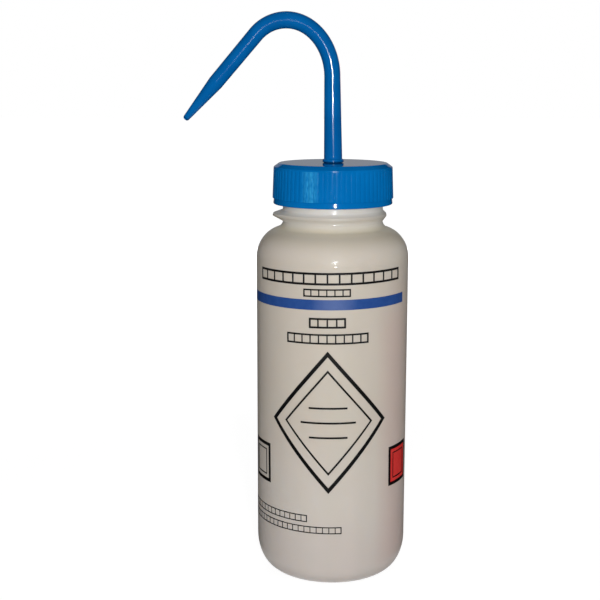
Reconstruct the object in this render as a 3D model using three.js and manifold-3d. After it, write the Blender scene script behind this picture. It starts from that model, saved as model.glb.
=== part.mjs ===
// A squeeze bottle for laboratory reagents. A translucent bottle carries a ribbed screw cap,
// a sealing disc lies under the cap, and a bent delivery tube stands up through both, with a
// straight dip tube pushed into its lower end.
// Millimetres, +Z up. The bottle's axis is the Z axis, it stands on z = 0, and the delivery
// tube bends over towards -X.

import * as THREE from "three";
import { mergeVertices } from "three/addons/utils/BufferGeometryUtils.js";
import Module from "manifold-3d";

const wasm = await Module();
wasm.setup();

// Body of the bottle
const BODY_RADIUS = 36;
const BODY_WALL = 1.3;
const FLOOR_THICKNESS = 1.8;
const CORNER_WIDTH = 10;
const CORNER_HEIGHT = 16;
const SIDE_HEIGHT = 137.4;
const SHOULDER_HEIGHT = 14.4;
const SHOULDER_FILLET = 2.4;
const RECESS_DEPTH = 1;
const RECESS_SLOPE_WIDTH = 1.5;
const STANDING_WIDTH = 3;

// Neck of the bottle, the ring on it, the lug that swells out of the ring on the -X side, and
// the bare neck between the ring and the cap
const NECK_RADIUS = 23.5;
const NECK_WALL = 2;
const RIM_CHAMFER = 0.5;
const RING_REACH = 1.9;
const LUG_REACH = 3.1;
const LUG_SHARPNESS = 8;
const RING_FOOT_HEIGHT = 0.5;
const RING_LOWER_SLOPE = 2.6;
const RING_EDGE = 1.2;
const RING_UPPER_SLOPE = 1.4;
const BARE_NECK_HEIGHT = 3;

// Right-hand screw thread between neck and cap
const THREAD_PITCH = 4.233;
const THREAD_DEPTH = 1.9;
const THREAD_CLEARANCE = 0.7;
const THREAD_ROOT_WIDTH = 2.1;
const THREAD_CREST_WIDTH = 1;
const NECK_THREAD_TURNS = 1.5;
const CAP_THREAD_TURNS = 1.25;
const CAP_THREAD_MARGIN = 0.35;
const THREAD_START_ANGLE = THREE.MathUtils.degToRad(60);
const THREAD_FADE_ANGLE = THREE.MathUtils.degToRad(25);

// Screw cap
const CAP_HEIGHT = 19.1;
const CAP_TOP_THICKNESS = 1.8;
const CAP_WALL = 1.9;
const CAP_DRAFT = 0.55;
const CAP_CHAMFER_WIDTH = 2.55;
const CAP_CHAMFER_HEIGHT = 1.8;
const CAP_FOOT_CHAMFER = 0.5;
const CAP_BAND_HEIGHT = 2.8;
const RIB_COUNT = 72;
const RIB_DEPTH = 0.5;
const RIB_TOP_MARGIN = 0.7;
const GROOVE_MOUTH_WIDTH = 1.3;
const GROOVE_FLOOR_WIDTH = 0.6;

// Sealing disc
const LINER_THICKNESS = 1.2;
const LINER_CLEARANCE = 0.4;

// Delivery tube, by its outer radius at the foot, the top of the riser, the crown, the leg,
// the start of the nozzle and the tip
const TUBE_FOOT_RADIUS = 4.25;
const TUBE_RISER_RADIUS = 3.7;
const TUBE_CROWN_RADIUS = 3.85;
const TUBE_LEG_RADIUS = 3.7;
const TUBE_NOZZLE_RADIUS = 3.5;
const TUBE_TIP_RADIUS = 1.35;
const TUBE_TIP_WALL = 0.75;
const TUBE_TIP_CHAMFER = 0.4;
const TUBE_BORE_RADIUS = 2.2;
const RISER_HEIGHT = 39.4;
const RISER_LEAN = 0.6;
const BEND_WIDTH = 21.3;
const BEND_HEIGHT = 25.9;
const CROWN_ARC_RADIUS = 18.5;
const LEG_ANGLE = THREE.MathUtils.degToRad(49.5);
const LEG_LENGTH = 29;
const NOZZLE_LENGTH = 22.2;

// Bead above the cap and flange below the disc, which hold the delivery tube in the cap, by
// how far each stands out from the foot of the tube
const BEAD_REACH = 1.25;
const BEAD_HEIGHT = 1.4;
const BEAD_CHAMFER = 0.4;
const FLANGE_REACH = 3.25;
const FLANGE_THICKNESS = 1.4;

// Dip tube and the socket that it is pushed into
const DIP_RADIUS = 3;
const DIP_WALL = 0.9;
const DIP_FLOOR_GAP = 6;
const DIP_CUT_ANGLE = THREE.MathUtils.degToRad(35);
const SOCKET_DEPTH = 12;
const SOCKET_CLEARANCE = 0.3;
const SOCKET_WALL = 0.95;

// Gaps, the overrun of cuts, and how deep a joined feature reaches into its wall
const SEAT_GAP = 0.3;
const HOLE_CLEARANCE = 0.3;
const OVERRUN = 1;
const EMBED = 0.6;

// Numbers of facets
const BODY_SIDES = 64;
const CAVITY_SIDES = 48;
const TUBE_SIDES = 16;
const CORNER_STEPS = 6;
const SHOULDER_STEPS = 8;
const FILLET_STEPS = 3;
const THREAD_STEPS_PER_TURN = 40;

// Levels and radii that follow from the sizes above
const SHOULDER_Z = CORNER_HEIGHT + SIDE_HEIGHT;
const BORE_RADIUS = NECK_RADIUS - NECK_WALL;
const CAP_BORE_RADIUS = NECK_RADIUS + THREAD_DEPTH + THREAD_CLEARANCE;
const CAP_BAND_RADIUS = CAP_BORE_RADIUS + CAP_WALL;
const HOLE_RADIUS = TUBE_FOOT_RADIUS + HOLE_CLEARANCE;
const RING_FOOT_Z = shoulderLine(BODY_RADIUS, NECK_RADIUS, SHOULDER_HEIGHT).at(-1).y + RING_FOOT_HEIGHT;
const RING_TOP_Z = RING_FOOT_Z + RING_LOWER_SLOPE + RING_EDGE + RING_UPPER_SLOPE;
const CAP_FOOT_Z = RING_TOP_Z + BARE_NECK_HEIGHT;
const CAP_TOP_Z = CAP_FOOT_Z + CAP_HEIGHT;
const CAP_INNER_Z = CAP_TOP_Z - CAP_TOP_THICKNESS;
const CAP_CHAMFER_Z = CAP_TOP_Z - CAP_CHAMFER_HEIGHT;
const RIB_FOOT_Z = CAP_FOOT_Z + CAP_BAND_HEIGHT;
const LINER_Z = CAP_INNER_Z - SEAT_GAP - LINER_THICKNESS;
const RIM_Z = LINER_Z - SEAT_GAP;
const CAP_THREAD_Z = CAP_FOOT_Z + CAP_THREAD_MARGIN + THREAD_ROOT_WIDTH / 2;
const NECK_THREAD_Z = CAP_THREAD_Z + THREAD_PITCH / 2;
const FLANGE_Z = LINER_Z - SEAT_GAP - FLANGE_THICKNESS;
const SOCKET_Z = FLANGE_Z - SOCKET_DEPTH;
const SOCKET_RADIUS = DIP_RADIUS + SOCKET_CLEARANCE;

// Solids and meshes

// Turns a closed geometry into a solid that can be joined and cut
function solidOf(geometry) {
  const bare = geometry.clone();
  bare.deleteAttribute("normal");
  bare.deleteAttribute("uv");
  const merged = mergeVertices(bare);
  const triangles = [];
  for (let i = 0; i < merged.index.count; i += 3) {
    const [a, b, c] = merged.index.array.slice(i, i + 3);
    if (a !== b && b !== c && c !== a) {
      triangles.push(a, b, c);
    }
  }
  const mesh = new wasm.Mesh({
    numProp: 3,
    vertProperties: new Float32Array(merged.attributes.position.array),
    triVerts: new Uint32Array(triangles),
  });
  return new wasm.Manifold(mesh);
}

// Turns a solid back into a geometry
function geometryOf(solid) {
  const mesh = solid.getMesh();
  const geometry = new THREE.BufferGeometry();
  geometry.setAttribute("position", new THREE.BufferAttribute(mesh.vertProperties, 3));
  geometry.setIndex(new THREE.BufferAttribute(mesh.triVerts, 1));
  geometry.computeVertexNormals();
  return geometry;
}

// Revolves a profile of (radius, height) points about the Z axis
function revolve(points, sides) {
  const geometry = new THREE.LatheGeometry(points, sides);
  geometry.rotateX(Math.PI / 2);
  return geometry;
}

// Joins rows of points, each a closed loop, into one closed skin. A looped skin joins its last
// row to its first, and an open one has a flat face at each end.
function skin(rows, looped) {
  const across = rows[0].length;
  const positions = rows.flat().flatMap((point) => point.toArray());
  const triangles = [];
  const pairs = looped ? rows.length : rows.length - 1;
  for (let row = 0; row < pairs; row += 1) {
    const here = row * across;
    const next = ((row + 1) % rows.length) * across;
    for (let i = 0; i < across; i += 1) {
      const j = (i + 1) % across;
      triangles.push(here + i, here + j, next + j);
      triangles.push(here + i, next + j, next + i);
    }
  }
  if (!looped) {
    const last = (rows.length - 1) * across;
    for (let i = 1; i < across - 1; i += 1) {
      triangles.push(0, i + 1, i);
      triangles.push(last, last + i, last + i + 1);
    }
  }
  const geometry = new THREE.BufferGeometry();
  geometry.setAttribute("position", new THREE.Float32BufferAttribute(positions, 3));
  geometry.setIndex(triangles);
  return geometry;
}

// A point at a radius, an angle about the Z axis and a height
function polar(radius, angle, z) {
  return new THREE.Vector3(radius * Math.cos(angle), radius * Math.sin(angle), z);
}

// Profile lines, as (radius, height) points from the lowest to the highest

// Points on an ellipse about a centre, from one angle to another
function ellipseLine(centre, width, height, from, to, steps) {
  const points = [];
  for (let i = 0; i <= steps; i += 1) {
    const angle = from + ((to - from) * i) / steps;
    const offset = new THREE.Vector2(width * Math.cos(angle), height * Math.sin(angle));
    points.push(offset.add(centre));
  }
  return points;
}

// The rounded lower corner of the body, inside it by a wall and above it by a floor
function cornerLine(wall, floor) {
  const centre = new THREE.Vector2(BODY_RADIUS - CORNER_WIDTH, CORNER_HEIGHT);
  const width = CORNER_WIDTH - wall;
  const height = CORNER_HEIGHT - floor;
  return ellipseLine(centre, width, height, -Math.PI / 2, 0, CORNER_STEPS);
}

// The shoulder and the fillet that leads from it into the neck
function shoulderLine(bodyRadius, neckRadius, height) {
  const width = bodyRadius - neckRadius;
  const fillet = Math.min(SHOULDER_FILLET, width / 2);
  const centre = new THREE.Vector2(neckRadius, SHOULDER_Z);
  const shoulder = ellipseLine(centre, width, height, 0, Math.acos(fillet / width), SHOULDER_STEPS);
  const end = shoulder.at(-1);
  const filletCentre = new THREE.Vector2(end.x, end.y + fillet);
  const root = ellipseLine(filletCentre, fillet, fillet, -Math.PI / 2, -Math.PI, FILLET_STEPS);
  return [...shoulder, ...root.slice(1)];
}

// Bottle

function bottleOutside() {
  const standingRadius = BODY_RADIUS - CORNER_WIDTH - STANDING_WIDTH;
  const points = [
    new THREE.Vector2(0, RECESS_DEPTH),
    new THREE.Vector2(standingRadius - RECESS_SLOPE_WIDTH, RECESS_DEPTH),
    new THREE.Vector2(standingRadius, 0),
    ...cornerLine(0, 0),
    ...shoulderLine(BODY_RADIUS, NECK_RADIUS, SHOULDER_HEIGHT),
    new THREE.Vector2(NECK_RADIUS, RIM_Z - RIM_CHAMFER),
    new THREE.Vector2(NECK_RADIUS - RIM_CHAMFER, RIM_Z),
    new THREE.Vector2(0, RIM_Z),
  ];
  return solidOf(revolve(points, BODY_SIDES));
}

function bottleCavity() {
  const floorZ = RECESS_DEPTH + FLOOR_THICKNESS;
  const points = [
    new THREE.Vector2(0, floorZ),
    ...cornerLine(BODY_WALL, floorZ),
    ...shoulderLine(BODY_RADIUS - BODY_WALL, BORE_RADIUS, SHOULDER_HEIGHT - BODY_WALL),
    new THREE.Vector2(BORE_RADIUS, RIM_Z + OVERRUN),
    new THREE.Vector2(0, RIM_Z + OVERRUN),
  ];
  return solidOf(revolve(points, CAVITY_SIDES));
}

// The ring on the neck, with the lug that swells out of it towards -X
function neckRing() {
  const rootRadius = NECK_RADIUS - EMBED;
  const lowerEdgeZ = RING_FOOT_Z + RING_LOWER_SLOPE;
  const rows = [];
  for (let i = 0; i < BODY_SIDES; i += 1) {
    const angle = (2 * Math.PI * i) / BODY_SIDES;
    const lugShare = Math.max(0, -Math.cos(angle)) ** LUG_SHARPNESS;
    const edgeRadius = NECK_RADIUS + RING_REACH + LUG_REACH * lugShare;
    rows.push([
      polar(rootRadius, angle, RING_FOOT_Z),
      polar(rootRadius, angle, RING_TOP_Z),
      polar(edgeRadius, angle, lowerEdgeZ + RING_EDGE),
      polar(edgeRadius, angle, lowerEdgeZ),
    ]);
  }
  return solidOf(skin(rows, true));
}

// One ridge of the thread. It climbs anticlockwise, stands out of a wall by the thread's depth,
// outwards or inwards, and sinks into the wall at both ends.
function threadRidge(wallRadius, outwards, startZ, turns) {
  const side = outwards ? 1 : -1;
  const rootRadius = wallRadius - side * EMBED;
  const sweep = 2 * Math.PI * turns;
  const steps = Math.ceil(THREAD_STEPS_PER_TURN * turns);
  const rows = [];
  for (let i = 0; i <= steps; i += 1) {
    const turned = (sweep * i) / steps;
    const angle = THREAD_START_ANGLE + turned;
    const z = startZ + (THREAD_PITCH * turned) / (2 * Math.PI);
    const fade = Math.min(1, turned / THREAD_FADE_ANGLE, (sweep - turned) / THREAD_FADE_ANGLE);
    const reach = THREE.MathUtils.lerp(-EMBED / 2, THREAD_DEPTH, fade);
    const crestRadius = wallRadius + side * reach;
    const row = [
      polar(rootRadius, angle, z - THREAD_ROOT_WIDTH / 2),
      polar(rootRadius, angle, z + THREAD_ROOT_WIDTH / 2),
      polar(crestRadius, angle, z + THREAD_CREST_WIDTH / 2),
      polar(crestRadius, angle, z - THREAD_CREST_WIDTH / 2),
    ];
    rows.push(outwards ? row : row.reverse());
  }
  return solidOf(skin(rows, false));
}

function bottle() {
  const thread = threadRidge(NECK_RADIUS, true, NECK_THREAD_Z, NECK_THREAD_TURNS);
  const outside = bottleOutside().add(neckRing()).add(thread);
  return geometryOf(outside.subtract(bottleCavity()));
}

// Screw cap

function capOutside() {
  const ribRadius = CAP_BAND_RADIUS + RIB_DEPTH;
  const upperRadius = ribRadius - CAP_DRAFT;
  const points = [
    new THREE.Vector2(0, CAP_FOOT_Z),
    new THREE.Vector2(CAP_BAND_RADIUS - CAP_FOOT_CHAMFER, CAP_FOOT_Z),
    new THREE.Vector2(CAP_BAND_RADIUS, CAP_FOOT_Z + CAP_FOOT_CHAMFER),
    new THREE.Vector2(CAP_BAND_RADIUS, RIB_FOOT_Z),
    new THREE.Vector2(ribRadius, RIB_FOOT_Z),
    new THREE.Vector2(upperRadius, CAP_CHAMFER_Z),
    new THREE.Vector2(upperRadius - CAP_CHAMFER_WIDTH, CAP_TOP_Z),
    new THREE.Vector2(0, CAP_TOP_Z),
  ];
  return solidOf(revolve(points, RIB_COUNT));
}

// The bar that cuts one groove between two ribs, leaning inwards with the cap's draft
function grooveBar(angle) {
  const ribHeight = CAP_CHAMFER_Z - RIB_FOOT_Z;
  const spread = ((GROOVE_MOUTH_WIDTH - GROOVE_FLOOR_WIDTH) * OVERRUN) / RIB_DEPTH;
  const outerX = RIB_DEPTH + OVERRUN;
  const outerY = (GROOVE_MOUTH_WIDTH + spread) / 2;
  const outline = new THREE.Shape();
  outline.moveTo(0, -GROOVE_FLOOR_WIDTH / 2);
  outline.lineTo(outerX, -outerY);
  outline.lineTo(outerX, outerY);
  outline.lineTo(0, GROOVE_FLOOR_WIDTH / 2);
  outline.closePath();
  const geometry = new THREE.ExtrudeGeometry(outline, {
    depth: ribHeight - RIB_TOP_MARGIN,
    bevelEnabled: false,
  });
  geometry.rotateY(-Math.atan(CAP_DRAFT / ribHeight));
  geometry.translate(CAP_BAND_RADIUS, 0, RIB_FOOT_Z);
  geometry.rotateZ(angle);
  return solidOf(geometry);
}

function capHollow() {
  const points = [
    new THREE.Vector2(0, CAP_FOOT_Z - OVERRUN),
    new THREE.Vector2(CAP_BORE_RADIUS, CAP_FOOT_Z - OVERRUN),
    new THREE.Vector2(CAP_BORE_RADIUS, CAP_INNER_Z),
    new THREE.Vector2(HOLE_RADIUS, CAP_INNER_Z),
    new THREE.Vector2(HOLE_RADIUS, CAP_TOP_Z + OVERRUN),
    new THREE.Vector2(0, CAP_TOP_Z + OVERRUN),
  ];
  return solidOf(revolve(points, CAVITY_SIDES));
}

function screwCap() {
  let cap = capOutside();
  for (let i = 0; i < RIB_COUNT; i += 1) {
    cap = cap.subtract(grooveBar((2 * Math.PI * i) / RIB_COUNT));
  }
  const thread = threadRidge(CAP_BORE_RADIUS, false, CAP_THREAD_Z, CAP_THREAD_TURNS);
  return geometryOf(cap.subtract(capHollow()).add(thread));
}

// Sealing disc

function capLiner() {
  const radius = CAP_BORE_RADIUS - LINER_CLEARANCE;
  const points = [
    new THREE.Vector2(HOLE_RADIUS, LINER_Z),
    new THREE.Vector2(radius, LINER_Z),
    new THREE.Vector2(radius, LINER_Z + LINER_THICKNESS),
    new THREE.Vector2(HOLE_RADIUS, LINER_Z + LINER_THICKNESS),
    new THREE.Vector2(HOLE_RADIUS, LINER_Z),
  ];
  return revolve(points, CAVITY_SIDES);
}

// Delivery tube

// The centre line above the bead, as curves of (x, z) points: riser, bend, crown, leg, nozzle
function spoutCurves() {
  const foot = new THREE.Vector2(0, CAP_TOP_Z + SEAT_GAP + BEAD_HEIGHT);
  const riserTop = new THREE.Vector2(-RISER_LEAN, CAP_TOP_Z + RISER_HEIGHT);
  const crownX = riserTop.x - BEND_WIDTH;
  const crownZ = riserTop.y + BEND_HEIGHT - CROWN_ARC_RADIUS;
  const crown = new THREE.EllipseCurve(
    crownX, crownZ, CROWN_ARC_RADIUS, CROWN_ARC_RADIUS, Math.PI / 2, Math.PI / 2 + LEG_ANGLE);
  const down = new THREE.Vector2(-Math.cos(LEG_ANGLE), -Math.sin(LEG_ANGLE));
  const legTop = crown.getPoint(1);
  const nozzleTop = legTop.clone().addScaledVector(down, LEG_LENGTH);
  const tip = nozzleTop.clone().addScaledVector(down, NOZZLE_LENGTH);
  return [
    new THREE.LineCurve(foot, riserTop),
    new THREE.EllipseCurve(crownX, riserTop.y, BEND_WIDTH, BEND_HEIGHT, 0, Math.PI / 2),
    crown,
    new THREE.LineCurve(legTop, nozzleTop),
    new THREE.LineCurve(nozzleTop, tip),
  ];
}

// One round row of points about a point of the centre line, square to the line there
function tubeRow(centre, tangent, radius) {
  const row = [];
  for (let i = 0; i < TUBE_SIDES; i += 1) {
    const angle = (2 * Math.PI * i) / TUBE_SIDES;
    const inPlane = radius * Math.cos(angle);
    row.push(new THREE.Vector3(
      centre.x + tangent.y * inPlane,
      radius * Math.sin(angle),
      centre.y - tangent.x * inPlane,
    ));
  }
  return row;
}

// Rows along the straight foot of the tube, which stands on the Z axis, from below upwards
function footRows(levels) {
  const up = new THREE.Vector2(0, 1);
  return levels.map(([radius, z]) => tubeRow(new THREE.Vector2(0, z), up, radius));
}

// The foot of the tube inside the cap, with its socket stub, flange and bead
function outerFootRows() {
  const stubRadius = SOCKET_RADIUS + SOCKET_WALL;
  const flangeRadius = TUBE_FOOT_RADIUS + FLANGE_REACH;
  const flangeTopZ = FLANGE_Z + FLANGE_THICKNESS;
  const beadRadius = TUBE_FOOT_RADIUS + BEAD_REACH;
  const beadZ = CAP_TOP_Z + SEAT_GAP;
  const beadTopZ = beadZ + BEAD_HEIGHT;
  return footRows([
    [stubRadius, SOCKET_Z],
    [stubRadius, FLANGE_Z],
    [flangeRadius, FLANGE_Z],
    [flangeRadius, flangeTopZ],
    [TUBE_FOOT_RADIUS, flangeTopZ],
    [TUBE_FOOT_RADIUS, beadZ],
    [beadRadius, beadZ],
    [beadRadius, beadTopZ - BEAD_CHAMFER],
    [beadRadius - BEAD_CHAMFER, beadTopZ],
  ]);
}

function deliveryTube() {
  // Each stretch has its steps, and the radius of its outside and of its bore where it ends
  const stretches = [
    { steps: 4, outerTo: TUBE_RISER_RADIUS, boreTo: TUBE_BORE_RADIUS },
    { steps: 10, outerTo: TUBE_CROWN_RADIUS, boreTo: TUBE_BORE_RADIUS },
    { steps: 6, outerTo: TUBE_LEG_RADIUS, boreTo: TUBE_BORE_RADIUS },
    { steps: 2, outerTo: TUBE_NOZZLE_RADIUS, boreTo: TUBE_BORE_RADIUS },
    { steps: 3, outerTo: TUBE_TIP_RADIUS, boreTo: TUBE_TIP_RADIUS - TUBE_TIP_WALL },
  ];
  const curves = spoutCurves();
  const outer = [];
  const bore = [];
  let outerFrom = TUBE_FOOT_RADIUS;
  let boreFrom = TUBE_BORE_RADIUS;
  stretches.forEach(({ steps, outerTo, boreTo }, index) => {
    for (let i = index === 0 ? 0 : 1; i <= steps; i += 1) {
      const share = i / steps;
      const centre = curves[index].getPoint(share);
      const tangent = curves[index].getTangent(share);
      outer.push(tubeRow(centre, tangent, THREE.MathUtils.lerp(outerFrom, outerTo, share)));
      bore.push(tubeRow(centre, tangent, THREE.MathUtils.lerp(boreFrom, boreTo, share)));
    }
    outerFrom = outerTo;
    boreFrom = boreTo;
  });
  const tipTangent = curves.at(-1).getTangent(1);
  const tipEnd = curves.at(-1).getPoint(1).addScaledVector(tipTangent, TUBE_TIP_CHAMFER);
  outer.push(tubeRow(tipEnd, tipTangent, outerFrom - TUBE_TIP_CHAMFER));
  bore.push(tubeRow(tipEnd, tipTangent, boreFrom));
  const socket = footRows([
    [SOCKET_RADIUS, SOCKET_Z],
    [SOCKET_RADIUS, FLANGE_Z],
    [TUBE_BORE_RADIUS, FLANGE_Z],
  ]);
  return skin([...outerFootRows(), ...outer, ...bore.reverse(), ...socket.reverse()], true);
}

// Dip tube, cut off at a slant just above the floor of the bottle

function dipTube() {
  const topZ = FLANGE_Z - SEAT_GAP;
  const footZ = RECESS_DEPTH + FLOOR_THICKNESS + DIP_FLOOR_GAP;
  const boreRadius = DIP_RADIUS - DIP_WALL;
  const [outerFoot, outerTop] = footRows([[DIP_RADIUS, footZ], [DIP_RADIUS, topZ]]);
  const [boreFoot, boreTop] = footRows([[boreRadius, footZ], [boreRadius, topZ]]);
  for (const point of [...outerFoot, ...boreFoot]) {
    point.z += (DIP_RADIUS + point.x) * Math.tan(DIP_CUT_ANGLE);
  }
  return skin([outerFoot, outerTop, boreTop, boreFoot], true);
}

// The whole object

function material(color, roughness, opacity) {
  return new THREE.MeshStandardMaterial({
    color, roughness, metalness: 0, opacity, transparent: opacity < 1,
  });
}

function piece(name, geometry, look) {
  const mesh = new THREE.Mesh(geometry, look);
  mesh.name = name;
  return mesh;
}

const washBottle = new THREE.Group();
washBottle.add(piece("bottle", bottle(), material(0xd8d3c8, 0.42, 0.92)));

const closure = new THREE.Group();
closure.add(piece("screw_cap", screwCap(), material(0x0a6cb2, 0.32, 1)));
closure.add(piece("cap_liner", capLiner(), material(0xe9e8e2, 0.6, 1)));
washBottle.add(closure);

const spout = new THREE.Group();
spout.add(piece("delivery_tube", deliveryTube(), material(0x0a5c9e, 0.28, 1)));
spout.add(piece("dip_tube", dipTube(), material(0xe4e3dc, 0.4, 0.8)));
washBottle.add(spout);

export default washBottle;
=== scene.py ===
import math

import bpy
from mathutils import Matrix, Vector


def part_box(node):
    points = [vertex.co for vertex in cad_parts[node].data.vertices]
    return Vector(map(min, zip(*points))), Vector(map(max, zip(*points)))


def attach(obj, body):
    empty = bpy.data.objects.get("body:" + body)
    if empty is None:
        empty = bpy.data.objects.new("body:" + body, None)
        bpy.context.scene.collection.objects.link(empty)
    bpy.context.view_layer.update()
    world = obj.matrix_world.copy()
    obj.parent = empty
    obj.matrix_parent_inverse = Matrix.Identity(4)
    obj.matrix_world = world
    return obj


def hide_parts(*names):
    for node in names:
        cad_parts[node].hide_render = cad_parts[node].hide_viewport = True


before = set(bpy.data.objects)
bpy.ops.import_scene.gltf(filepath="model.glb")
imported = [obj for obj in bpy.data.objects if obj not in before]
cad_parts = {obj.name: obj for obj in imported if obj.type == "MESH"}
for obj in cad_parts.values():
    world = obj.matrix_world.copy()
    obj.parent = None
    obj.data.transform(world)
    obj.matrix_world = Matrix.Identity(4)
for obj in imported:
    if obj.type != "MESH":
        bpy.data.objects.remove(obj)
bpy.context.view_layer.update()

# The shapes are worked out in millimetres and made in metres
MM = 0.001
TAU = 2 * math.pi


def box_mm(node):
    """The lowest and the highest corner of a node's box, in millimetres."""
    low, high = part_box(node)
    return low / MM, high / MM


# Levels and reaches that the frame gives
BODY_RADIUS = box_mm("bottle")[1].x
RIM_Z = box_mm("bottle")[1].z
CAP_FOOT_Z = box_mm("screw_cap")[0].z
CAP_TOP_Z = box_mm("screw_cap")[1].z
LINER_Z = box_mm("cap_liner")[0].z
LINER_TOP_Z = box_mm("cap_liner")[1].z
LINER_RADIUS = box_mm("cap_liner")[1].x
SOCKET_Z = box_mm("delivery_tube")[0].z
CROWN_TOP_Z = box_mm("delivery_tube")[1].z
DIP_FOOT_Z = box_mm("dip_tube")[0].z
DIP_TOP_Z = box_mm("dip_tube")[1].z
DIP_RADIUS = box_mm("dip_tube")[1].x

# Body of the bottle
BODY_WALL = 1.3
FLOOR_THICKNESS = 1.8
CORNER_WIDTH = 10
CORNER_HEIGHT = 16
SIDE_HEIGHT = 137.4
SHOULDER_HEIGHT = 14.3
SHOULDER_OVERLAP = 0.7
SHOULDER_END_ANGLE = math.radians(74)
RECESS_DEPTH = 1
RECESS_SLOPE_WIDTH = 1.5
RECESS_ROUNDING = 0.8
STANDING_WIDTH = 3
PINCH_LENGTH = 34
PINCH_WIDTH = 1.2
PINCH_HEIGHT = 0.35
PINCH_END_BLUNTNESS = 4
SEAM_HEIGHT = 0.05

# Neck, its ring and the lug on the ring
NECK_RADIUS = 23.5
NECK_WALL = 2
NECK_ROOT_WIDTH = 0.24
NECK_ROOT_HEIGHT = 2.2
RIM_ROUNDING = 0.5
RING_REACH = 1.9
LUG_REACH = 3.1
LUG_SHARPNESS = 8
RING_FOOT_BELOW_CAP = 8.2
RING_LOWER_SLOPE = 2.6
RING_EDGE = 1.2
RING_EDGE_DRAFT = 0.14
RING_UPPER_SLOPE = 1.4
RING_ROUNDING = 0.45

# Screw thread
THREAD_PITCH = 4.233
THREAD_DEPTH = 1.9
THREAD_CLEARANCE = 0.7
THREAD_ROOT_WIDTH = 2.1
THREAD_CREST_WIDTH = 1
NECK_THREAD_TURNS = 1.5
CAP_THREAD_TURNS = 1.25
CAP_THREAD_MARGIN = 0.35
THREAD_START_ANGLE = math.radians(60)
THREAD_FADE_ANGLE = math.radians(25)

# Screw cap
CAP_TOP_THICKNESS = 1.8
CAP_WALL = 1.9
CAP_DRAFT = 0.55
CAP_CHAMFER_WIDTH = 2.55
CAP_CHAMFER_HEIGHT = 1.8
CAP_BAND_HEIGHT = 2.8
CAP_BAND_CROWN = 0.015
CAP_BAND_DRAFT = 0.12
CAP_ROUNDING = 0.5
CAP_FOOT_ROUNDING = 0.45
RIB_COUNT = 72
RIB_DEPTH = 0.5
GROOVE_DEPTH = 0.2
RIB_TOP_MARGIN = 0.7
RIB_FADE = 0.5
GROOVE_SHARE = 0.5

# Delivery tube
TUBE_FOOT_RADIUS = 4.25
TUBE_RISER_RADIUS = 3.7
TUBE_CROWN_RADIUS = 3.85
TUBE_LEG_RADIUS = 3.7
TUBE_NOZZLE_RADIUS = 3.5
TUBE_TIP_RADIUS = 1.35
TUBE_TIP_WALL = 0.75
TUBE_BORE_RADIUS = 2.2
TIP_ROUNDING = 0.9
RISER_LEAN = 0.6
BEND_WIDTH = 21.3
BEND_HEIGHT = 25.9
CROWN_ARC_RADIUS = 18.5
LEG_ANGLE = math.radians(49.5)
LEG_LENGTH = 29
NOZZLE_LENGTH = 22.2
TUBE_SEAM_HEIGHT = 0.05
BEAD_REACH = 0.75
BEAD_HEIGHT = 1.4
BEAD_DRAFT = 0.09
FLANGE_REACH = 3.25
FLANGE_THICKNESS = 1.4
SOCKET_DEPTH = 12
SOCKET_CLEARANCE = 0.3
SOCKET_WALL = 0.95
DIP_WALL = 0.9
DIP_CUT_ANGLE = math.radians(35)
SEAT_GAP = 0.3
HOLE_CLEARANCE = 0.3

# Print on the body: the thickness of its inks, how far they sink into the wall, and where its
# marks lie, as millimetres round the wall from the front and up it
INK_THICKNESS = 0.05
TOP_INK_THICKNESS = 0.07
INK_SINK = 0.02
INK_STEP = 0.8
PRINT_CENTRE = -2.6
PRINT_TILT = math.radians(0.6)
PRINT_TILT_Z = 90
STRIPE = {"left": -60, "right": 40.3, "z": 136.35, "height": 4.7}
WRITING_FIELDS = [
    {"left": -41, "right": 35.9, "z": 148.2, "height": 5.7, "cells": 14, "line": 1},
    {"left": -13.8, "right": 8.1, "z": 141.8, "height": 3.7, "cells": 6, "line": 0.7},
    {"left": -11.2, "right": 5.8, "z": 128, "height": 4.8, "cells": 4, "line": 0.9},
    {"left": -22.4, "right": 16.7, "z": 120.6, "height": 4.8, "cells": 10, "line": 0.8},
    {"left": -61, "right": -12.8, "z": 34.7, "height": 3.5, "cells": 16, "line": 0.5},
    {"left": -62, "right": 3.5, "z": 29.4, "height": 3.4, "cells": 22, "line": 0.5},
]
HALF_CELL_WALL_SHARE = 0.4
DIAMOND_Z = 81.2
DIAMOND_HALF_WIDTH = 28.8
DIAMOND_HALF_HEIGHT = 33.8
DIAMOND_LINE = 1.75
INNER_DIAMOND_SHARE = 0.74
INNER_DIAMOND_LINE = 0.9
DIAMOND_RULES = [(7, 9), (0, 13), (-7, 9)]
LEFT_PANEL = {"left": -51.4, "right": -34.4, "low": 48.2, "high": 67.4}
RIGHT_PANEL = {"left": 29.2, "right": 46.2, "low": 46.9, "high": 66.1}
PANEL_LINE = 1.6
INNER_PANEL_LINE = 0.6
INNER_PANEL_INSET = 3.2

# Colour of the bottle's plastic by height, with painted light and shade, as stops of a height and a
# colour of the screen
BODY_COLOUR = (209, 200, 187)
BOTTLE_COLOURS_AND_PAINTED_LIGHT = [
    # Paler at the foot: painted light, the bounce from the floor
    (0, (226, 216, 209)),
    (18, (211, 202, 195)),
    (40, (214, 206, 197)),
    (90, BODY_COLOUR),
    (152, BODY_COLOUR),
    (159, (212, 203, 191)),
    (165, (203, 194, 177)),
    # Lighter at the fillet below the ring: a painted highlight
    (167.5, (222, 214, 192)),
    (170, (216, 211, 200)),
    # Darker at the ring's lower edge: painted shade
    (173, (196, 190, 179)),
    (176, (226, 223, 216)),
    (200, (226, 223, 216)),
]

# Faint pink tint on one side of the wall, beside the red print
BLUSH_ANGLE = math.radians(57)
BLUSH_HALF_WIDTH = math.radians(24)
BLUSH_SHARE = 0.5
BLUSH_FADE = 16

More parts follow.
